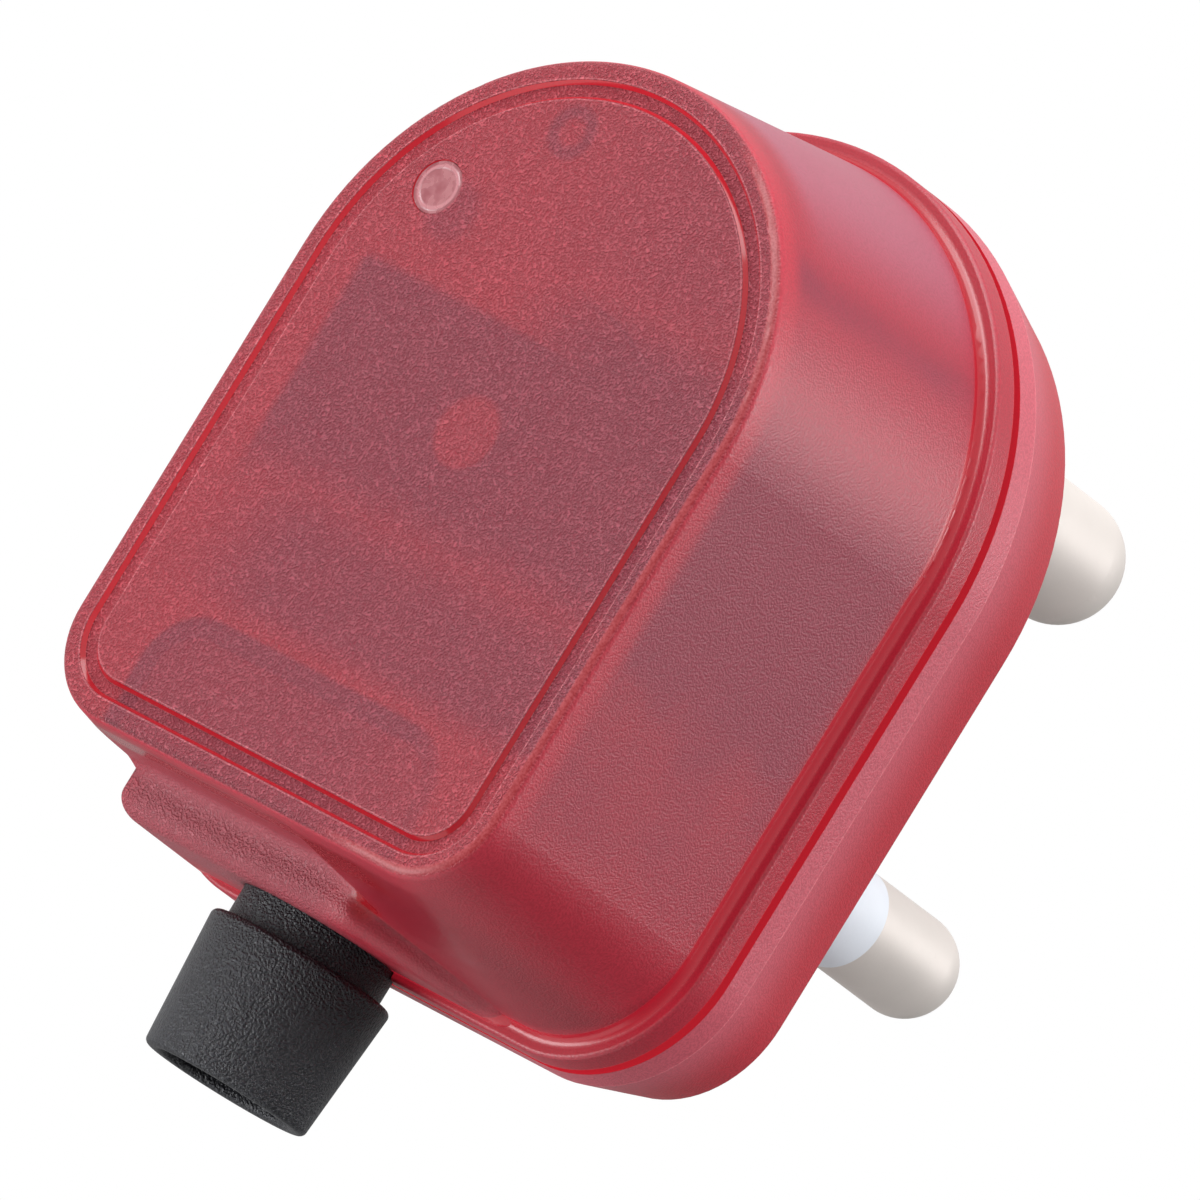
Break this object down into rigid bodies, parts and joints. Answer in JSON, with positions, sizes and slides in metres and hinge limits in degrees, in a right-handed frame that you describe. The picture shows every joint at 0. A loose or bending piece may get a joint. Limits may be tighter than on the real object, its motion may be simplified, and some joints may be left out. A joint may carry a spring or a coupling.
{
  "type": "three round pin mains plug",
  "caption": "Rewireable mains plug with round pins, a frosted red cover and base, a cord outlet with a rubber boot, a lamp window and a surge module inside.",
  "frame": {"origin": "centre of the earth pin at the base's mating plane", "axes": "+Y out along the pins, +Z from the cord outlet towards the earth pin's end, +X to the right seen from the front face"},
  "size_m": [0.048, 0.06, 0.0726],
  "materials": {
    "red_shell": "frosted translucent",
    "black_rubber": "fine leathery grain",
    "nickel": "satin nickel plating on brass",
    "white_sleeve": "smooth",
    "zinc_steel": "zinc plated",
    "strap_metal": "bare strip",
    "clear_lens": "clear moulded plastic",
    "lamp_body": "tinted epoxy with tinned leads",
    "black_case": "moulded",
    "board": "laminate",
    "varistor_coat": "coated disc with tinned leads",
    "fuse_coat": "can with tinned leads",
    "resistor_coat": "lacquered with tinned leads",
    "dark_clamp": "moulded"
  },
  "bodies": {
    "root": {"cover": "red_shell", "base": "red_shell", "earth_pin": "nickel", "live_pin": "nickel", "neutral_pin": "nickel", "live_sleeve": "white_sleeve", "neutral_sleeve": "white_sleeve", "live_strap": "strap_metal", "neutral_strap": "strap_metal", "earth_strap": "strap_metal", "cord_boot": "black_rubber", "cord_clamp": "dark_clamp", "clamp_screw_left": "zinc_steel", "clamp_screw_right": "zinc_steel", "cover_screw": "zinc_steel", "indicator_lens": "clear_lens", "indicator_lamp": "lamp_body", "module_case": "black_case", "circuit_board": "board", "thermal_fuse": "fuse_coat", "resistor": "resistor_coat", "live_terminal_screw": "zinc_steel", "neutral_terminal_screw": "zinc_steel", "earth_terminal_screw": "zinc_steel", "varistor_live_neutral": "varistor_coat", "varistor_live_earth": "varistor_coat", "varistor_neutral_earth": "varistor_coat"}
  },
  "joints": []
}
